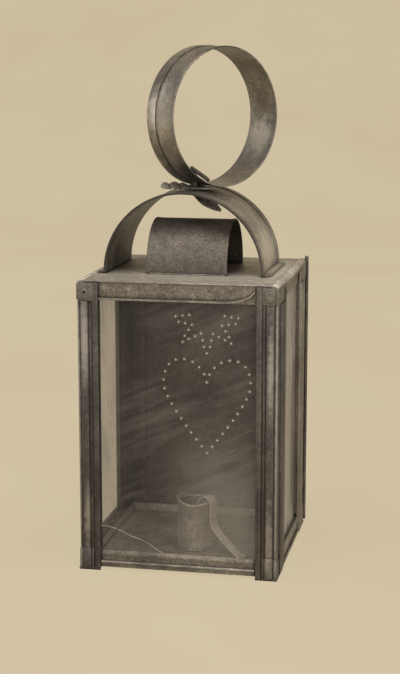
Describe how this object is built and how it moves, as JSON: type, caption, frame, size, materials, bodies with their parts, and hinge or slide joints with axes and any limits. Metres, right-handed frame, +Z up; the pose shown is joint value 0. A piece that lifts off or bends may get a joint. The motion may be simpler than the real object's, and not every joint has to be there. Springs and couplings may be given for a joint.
{
  "type": "hand lantern",
  "caption": "Square tinplate candle lantern with glazed sides, a pierced back door on a wire hinge, a half-barrel smoke hood under an arched strap, and a swivelling carrying ring",
  "frame": {"origin": "middle of the base at table level, under the centre of the bounding box", "axes": "+Z up, the glazed front towards -Y, the hinged back door towards +Y, the door's hinge at +X"},
  "size_m": [0.1306, 0.1338, 0.3321],
  "materials": {
    "tinplate_dark": "aged matte",
    "tinplate_worn": "worn satin",
    "tinplate_bright": "satin",
    "iron_wire": "aged matte",
    "window_glass": "clear, dusty"
  },
  "bodies": {
    "lantern_body": {"corner_post_front_left": "tinplate_dark", "corner_post_front_right": "tinplate_dark", "corner_post_rear_left": "tinplate_dark", "corner_post_rear_right": "tinplate_dark", "corner_cap_front_left": "tinplate_worn", "corner_cap_front_right": "tinplate_worn", "corner_cap_rear_left": "tinplate_worn", "corner_cap_rear_right": "tinplate_worn", "corner_shoe_front_left": "tinplate_worn", "corner_shoe_front_right": "tinplate_worn", "corner_shoe_rear_left": "tinplate_worn", "corner_shoe_rear_right": "tinplate_worn", "glass_stop_front_left": "tinplate_dark", "glass_stop_front_right": "tinplate_dark", "glass_stop_rear_left": "tinplate_dark", "glass_stop_rear_right": "tinplate_dark", "bottom_rail_front": "tinplate_dark", "bottom_rail_back": "tinplate_dark", "bottom_rail_left": "tinplate_dark", "bottom_rail_right": "tinplate_dark", "floor_pan": "tinplate_dark", "glass_front": "window_glass", "glass_left": "window_glass", "glass_right": "window_glass", "lid": "tinplate_dark", "smoke_hood": "tinplate_dark", "strap_handle": "tinplate_dark", "candle_socket": "tinplate_worn", "socket_brace": "tinplate_bright", "hinge_knuckle_lower": "tinplate_dark", "hinge_knuckle_upper": "tinplate_dark", "hinge_wire": "iron_wire", "latch_rivet": "iron_wire"},
    "back_door": {"door_panel": "tinplate_dark"},
    "turn_button": {"latch_button": "tinplate_worn"},
    "carrying_ring": {"ring_band": "tinplate_dark", "leaf_washer": "tinplate_worn", "swivel_strip": "tinplate_dark"}
  },
  "joints": [
    {"name": "door_hinge", "type": "hinge", "parent": "lantern_body", "child": "back_door", "pos_m": [0.0639, 0.0644, 0.0945], "axis": [0, 0, -1], "range_deg": [0, 170]},
    {"name": "button_pivot", "type": "hinge", "parent": "lantern_body", "child": "turn_button", "pos_m": [-0.058, 0.0654, 0.095], "axis": [0, -1, 0], "range_deg": [0, 90]},
    {"name": "ring_swivel", "type": "hinge", "parent": "lantern_body", "child": "carrying_ring", "pos_m": [-0.0008, -0.0044, 0.2401], "axis": [0, 0, 1], "continuous": true}
  ]
}
